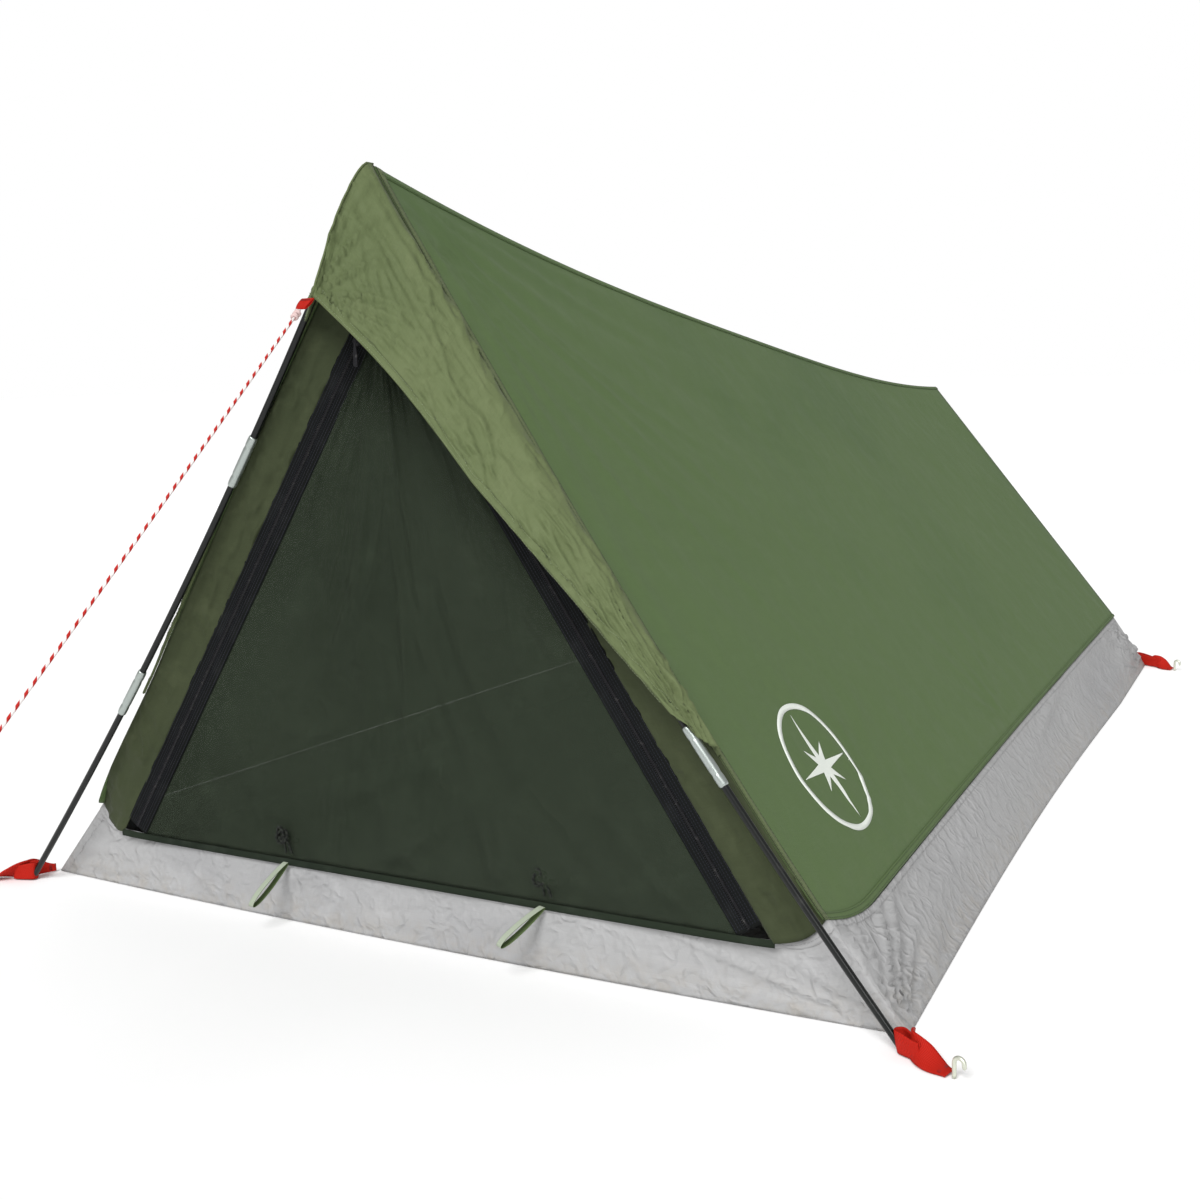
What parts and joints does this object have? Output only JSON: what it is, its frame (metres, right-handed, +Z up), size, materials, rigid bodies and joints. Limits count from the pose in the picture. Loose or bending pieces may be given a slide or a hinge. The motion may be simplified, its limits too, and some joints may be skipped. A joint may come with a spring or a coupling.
{
  "type": "a-frame tent",
  "caption": "Pitched A-frame tent with sloping pole pairs, sagging ridge, tub floor, hooded mesh door with two zips, corner straps and a front guy line.",
  "frame": {"origin": "middle of the floor sheet's underside, on the ground", "axes": "+Z up, +Y from the door end towards the foot end, +X to the right seen from outside the door"},
  "size_m": [1.3564, 3.0277, 0.888],
  "materials": {
    "tub_fabric": "matte",
    "roof_fabric": "matte",
    "hood_fabric": "matte",
    "wall_fabric": "matte",
    "mesh_fabric": "matte",
    "zip_tape": "matte",
    "black_zinc": "satin",
    "black_plastic": "matte",
    "pole": "satin",
    "ferrule": "satin",
    "elastic": "matte",
    "red_webbing": "matte",
    "guy_rope": "matte",
    "zinc_steel": "satin"
  },
  "bodies": {
    "tent": {"floor_sheet": "tub_fabric", "tub_front": "tub_fabric", "tub_rear": "tub_fabric", "tub_left": "tub_fabric", "tub_right": "tub_fabric", "roof_left": "roof_fabric", "roof_right": "roof_fabric", "rear_panel": "roof_fabric", "hood_left": "hood_fabric", "hood_right": "hood_fabric", "front_panel_left": "wall_fabric", "front_panel_right": "wall_fabric", "rear_vent_mesh": "mesh_fabric", "wall_zip_left": "zip_tape", "wall_zip_right": "zip_tape", "front_apex_joint": "black_plastic", "rear_apex_joint": "black_plastic", "front_pole_lower_left": "pole", "front_pole_lower_right": "pole", "front_pole_middle_left": "pole", "front_pole_middle_right": "pole", "front_pole_upper_left": "pole", "front_pole_upper_right": "pole", "rear_pole_lower_left": "pole", "rear_pole_lower_right": "pole", "rear_pole_upper_left": "pole", "rear_pole_upper_right": "pole", "front_ferrule_lower_left": "ferrule", "front_ferrule_lower_right": "ferrule", "front_ferrule_upper_left": "ferrule", "front_ferrule_upper_right": "ferrule", "rear_ferrule_left": "ferrule", "rear_ferrule_right": "ferrule", "front_shock_cord": "elastic", "rear_shock_cord": "elastic", "strap_front_left": "red_webbing", "strap_front_right": "red_webbing", "strap_rear_left": "red_webbing", "strap_rear_right": "red_webbing", "guy_tab": "red_webbing", "guy_line": "guy_rope", "peg_front_left": "zinc_steel", "peg_front_right": "zinc_steel", "peg_rear_left": "zinc_steel", "peg_rear_right": "zinc_steel", "guy_peg": "zinc_steel"},
    "door": {"door_mesh": "mesh_fabric", "door_zip_left": "zip_tape", "door_zip_right": "zip_tape", "toggle_left": "black_plastic", "toggle_right": "black_plastic"},
    "slider_left": {"zip_slider_left": "black_zinc"},
    "slider_right": {"zip_slider_right": "black_zinc"},
    "pull_left": {"zip_pull_left": "black_zinc"},
    "pull_right": {"zip_pull_right": "black_zinc"},
    "tie_left": {"tie_loop_left": "wall_fabric"},
    "tie_right": {"tie_loop_right": "wall_fabric"},
    "runner": {"guy_runner": "black_plastic"}
  },
  "joints": [
    {"name": "door_swing", "type": "hinge", "parent": "tent", "child": "door", "pos_m": [0, -1.012, 0.0785], "axis": [-1, 0, 0], "range_deg": [0, 90]},
    {"name": "zip_left_slide", "type": "slide", "parent": "tent", "child": "slider_left", "axis": [-0.5474, 0, -0.8368], "range_m": [0, 0.7]},
    {"name": "zip_right_slide", "type": "slide", "parent": "tent", "child": "slider_right", "axis": [0.5474, 0, -0.8368], "range_m": [0, 0.7]},
    {"name": "pull_left_swing", "type": "hinge", "parent": "slider_left", "child": "pull_left", "pos_m": [-0.03285, -1.0215, 0.70079], "axis": [-1, 0, 0], "range_deg": [0, 150]},
    {"name": "pull_right_swing", "type": "hinge", "parent": "slider_right", "child": "pull_right", "pos_m": [0.03285, -1.0215, 0.70079], "axis": [-1, 0, 0], "range_deg": [0, 150]},
    {"name": "tie_left_flip", "type": "hinge", "parent": "tent", "child": "tie_left", "pos_m": [-0.184, -1.01179, 0.0735], "axis": [-1, 0, 0], "range_deg": [-40, 80]},
    {"name": "tie_right_flip", "type": "hinge", "parent": "tent", "child": "tie_right", "pos_m": [0.184, -1.01179, 0.0735], "axis": [-1, 0, 0], "range_deg": [-40, 80]},
    {"name": "runner_slide", "type": "slide", "parent": "tent", "child": "runner", "axis": [0, -0.7656, -0.6433], "range_m": [0, 0.1]}
  ]
}
